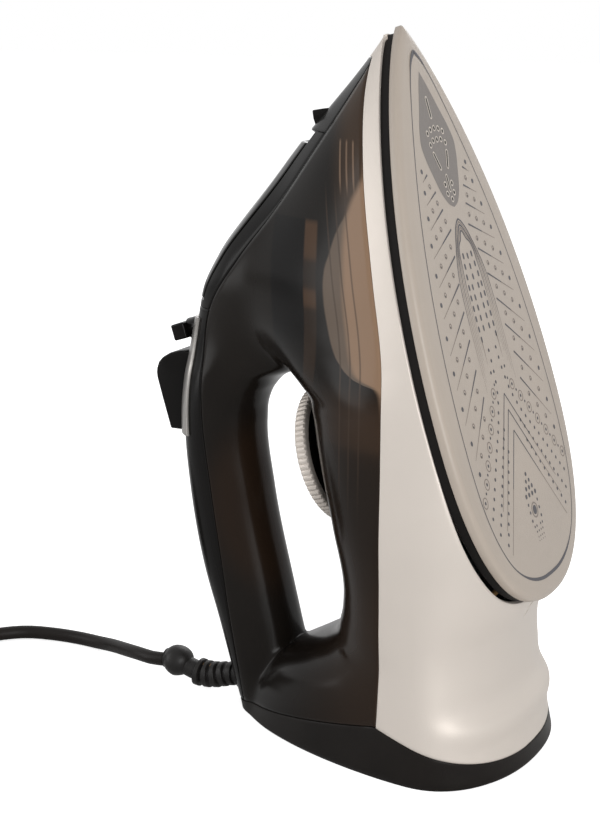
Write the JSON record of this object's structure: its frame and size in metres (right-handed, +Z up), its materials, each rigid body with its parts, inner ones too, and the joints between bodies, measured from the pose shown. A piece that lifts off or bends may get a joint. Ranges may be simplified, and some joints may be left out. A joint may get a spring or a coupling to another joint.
{
  "type": "steam iron",
  "caption": "Steam iron standing on its heel: pointed ceramic soleplate, silver skirt, smoky body with a loop handle, fill lid, thermostat dial, keys, lever, cord and plug.",
  "frame": {"origin": "centre of the heel face, on the surface that the iron stands on", "axes": "+Z up towards the soleplate's tip, +X from the handle towards the soleplate, +Y across the iron"},
  "size_m": [0.4208, 0.1352, 0.2921],
  "materials": {
    "sole_ceramic": "smooth beige ceramic coating",
    "bare_aluminium": "pressed sheet",
    "element_steel": "heat tinted tube",
    "gasket_black": "heat resistant black",
    "frame_plastic": "heat resistant black",
    "brass": "turned",
    "steel": "plain steel",
    "ceramic_white": "off-white insulator",
    "sleeve": "woven sleeve",
    "wire_sleeves": "insulated wires",
    "silver_plastic": "pearl silver lacquer",
    "smoky_plastic": "polished smoky brown, slightly see-through",
    "black_gloss": "polished black",
    "lid_gloss": "polished dark",
    "heel_black": "satin black",
    "silver_trim": "silver lacquer",
    "white_nylon": "white nylon",
    "seal_rubber": "soft grey",
    "boot_rubber": "soft black",
    "cord_black": "smooth black jacket",
    "plug_black": "moulded black",
    "plug_metal": "nickel plated"
  },
  "bodies": {
    "iron": {"soleplate": "sole_ceramic", "heating_element": "element_steel", "chamber_cover": "bare_aluminium", "sole_gasket": "gasket_black", "tank_floor": "frame_plastic", "drip_valve": "brass", "thermostat": "ceramic_white", "thermal_fuse": "sleeve", "terminal_block": "ceramic_white", "inner_wires": "wire_sleeves", "skirt": "silver_plastic", "body_shell": "smoky_plastic", "heel_cover": "heel_black", "handle_cover": "black_gloss", "control_plate": "silver_trim", "spray_spring": "steel", "burst_spring": "steel", "spray_pump": "white_nylon", "burst_pump": "white_nylon", "spray_tube": "white_nylon", "burst_tube": "white_nylon", "spray_nozzle": "black_gloss", "nose_cap": "black_gloss", "front_bezel": "black_gloss", "lid_pin": "steel", "cord_bushing": "boot_rubber", "cord_clamp": "boot_rubber", "frame_screws": "steel", "cord": "cord_black", "cord_coil": "cord_black", "coil_tie": "boot_rubber", "plug_body": "plug_black", "plug_pins": "plug_metal"},
    "lid": {"fill_lid": "lid_gloss", "lid_seal": "seal_rubber"},
    "dial": {"thermostat_dial": "silver_trim", "dial_cap": "black_gloss", "thermostat_shaft": "steel"},
    "lever": {"steam_lever": "black_gloss", "steam_rod": "steel"},
    "spray_key": {"spray_button": "black_gloss"},
    "burst_key": {"burst_button": "black_gloss"},
    "boot": {"cord_boot": "boot_rubber"}
  },
  "joints": [
    {"name": "lid_hinge", "type": "hinge", "parent": "iron", "child": "lid", "pos_m": [-0.03652, 0, 0.24472], "axis": [0, 1, 0], "range_deg": [0, 50]},
    {"name": "dial_turn", "type": "hinge", "parent": "iron", "child": "dial", "pos_m": [-0.02449, 0, 0.11823], "axis": [-0.9548, 0, -0.2974], "range_deg": [0, 270]},
    {"name": "lever_turn", "type": "hinge", "parent": "iron", "child": "lever", "pos_m": [-0.09068, 0, 0.1655], "axis": [-0.9548, 0, -0.2974], "range_deg": [-30, 30]},
    {"name": "spray_press", "type": "slide", "parent": "iron", "child": "spray_key", "axis": [1, 0, 0], "range_m": [0, 0.004], "stiffness_N_per_m": 600, "springref_m": -0.001, "deforming": ["spray_spring"]},
    {"name": "burst_press", "type": "slide", "parent": "iron", "child": "burst_key", "axis": [1, 0, 0], "range_m": [0, 0.004], "stiffness_N_per_m": 600, "springref_m": -0.001, "deforming": ["burst_spring"]},
    {"name": "boot_swivel", "type": "hinge", "parent": "iron", "child": "boot", "pos_m": [-0.0755, 0, 0.0102], "axis": [1, 0, 0], "range_deg": [-170, 170]}
  ]
}
